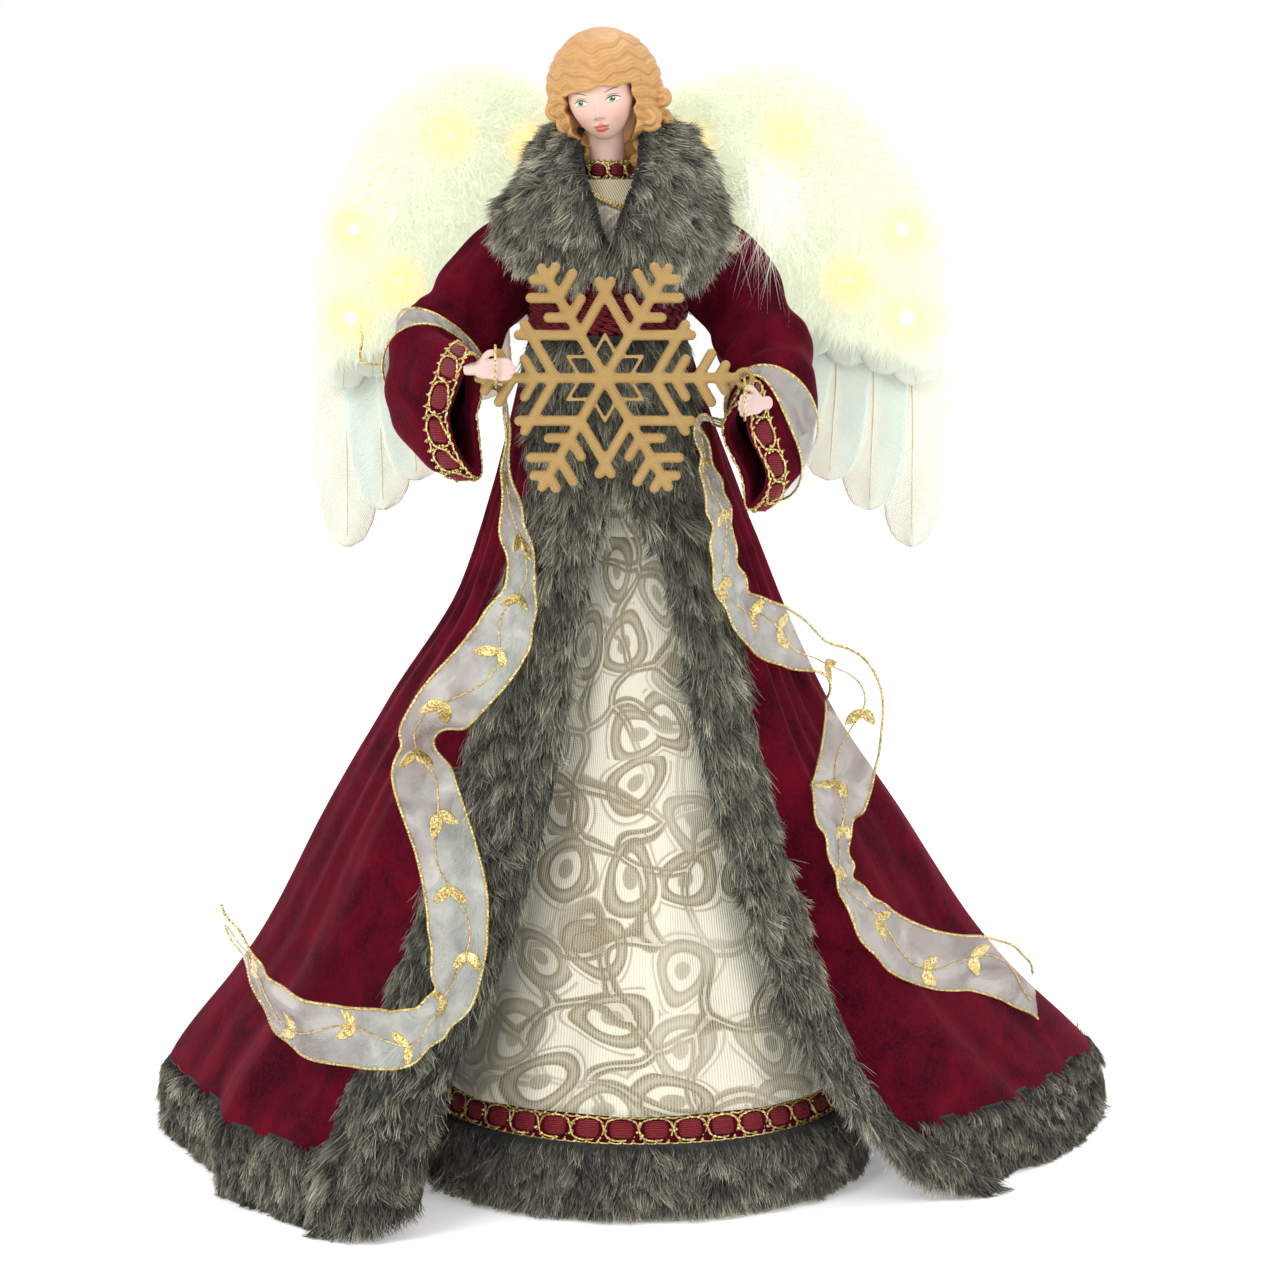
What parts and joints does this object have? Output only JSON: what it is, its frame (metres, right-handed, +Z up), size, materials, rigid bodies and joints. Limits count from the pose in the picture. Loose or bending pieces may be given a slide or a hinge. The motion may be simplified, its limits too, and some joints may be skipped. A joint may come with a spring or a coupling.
{
  "type": "angel tree topper",
  "caption": "Hollow cone tree topper dressed as a winged doll in a brocade gown and fur-trimmed velvet robe, holding a gold snowflake.",
  "frame": {"origin": "centre of the cone's open mouth, in the plane of its rim, where the tree's tip goes in", "axes": "+Z up along the cone, the face looks along -Y, +X is the viewer's right"},
  "size_m": [0.3636, 0.2645, 0.4064],
  "materials": {
    "card": "stiff pressed card",
    "foam": "cut foam",
    "porcelain": "painted bisque with a soft sheen",
    "velvet": "short pile velvet",
    "fur": "long pile imitation fur",
    "brocade": "woven with metallic thread",
    "braid": "looped gold edge",
    "gold": "matte gold paint on moulded plastic",
    "gold_thread": "metallic thread",
    "organza": "sheer weave with gold print",
    "feather": "natural feather",
    "steel": "bright drawn",
    "lamp": "clear bulb, lit warm white",
    "cable": "insulated light string wire"
  },
  "bodies": {
    "figure": {"tree_cone": "card", "torso_core": "foam", "gown_bodice": "brocade", "robe_bodice": "velvet", "waist_braid": "braid", "neck_braid": "braid", "left_arm_wire": "steel", "left_sleeve": "velvet", "left_cuff_braid": "braid", "right_arm_wire": "steel", "right_sleeve": "velvet", "right_cuff_braid": "braid", "porcelain_head": "porcelain", "fur_collar": "fur", "left_hand": "porcelain", "right_hand": "porcelain", "gown_skirt": "brocade", "gown_hem_braid": "braid", "gown_hem_fur": "fur", "robe_skirt": "velvet", "robe_hem_fur": "fur", "left_front_fur": "fur", "right_front_fur": "fur", "left_tie_thread": "gold_thread", "right_tie_thread": "gold_thread", "left_ribbon": "organza", "right_ribbon": "organza", "wing_bracket": "steel"},
    "snowflake": {"snowflake": "gold"},
    "left_wing": {"left_wing_board": "card", "left_feather_1": "feather", "left_feather_2": "feather", "left_feather_3": "feather", "left_feather_4": "feather", "left_feather_5": "feather", "left_coverts": "feather", "left_down": "feather", "left_light_string": "cable", "left_lamp_1": "lamp", "left_lamp_2": "lamp", "left_lamp_3": "lamp", "left_lamp_4": "lamp", "left_lamp_5": "lamp"},
    "right_wing": {"right_wing_board": "card", "right_feather_1": "feather", "right_feather_2": "feather", "right_feather_3": "feather", "right_feather_4": "feather", "right_feather_5": "feather", "right_coverts": "feather", "right_down": "feather", "right_light_string": "cable", "right_lamp_1": "lamp", "right_lamp_2": "lamp", "right_lamp_3": "lamp", "right_lamp_4": "lamp", "right_lamp_5": "lamp"}
  },
  "joints": [
    {"name": "left_wing_fold", "type": "hinge", "parent": "figure", "child": "left_wing", "pos_m": [-0.027, 0.04705, 0.3468], "axis": [0, 0, 1], "range_deg": [-35, 6]},
    {"name": "right_wing_fold", "type": "hinge", "parent": "figure", "child": "right_wing", "pos_m": [0.005, 0.04705, 0.3468], "axis": [0, 0, -1], "range_deg": [-35, 6]},
    {"name": "snowflake_swing", "type": "hinge", "parent": "figure", "child": "snowflake", "pos_m": [0, -0.062, 0.2902], "axis": [1, 0, 0], "range_deg": [-12, 12]}
  ]
}
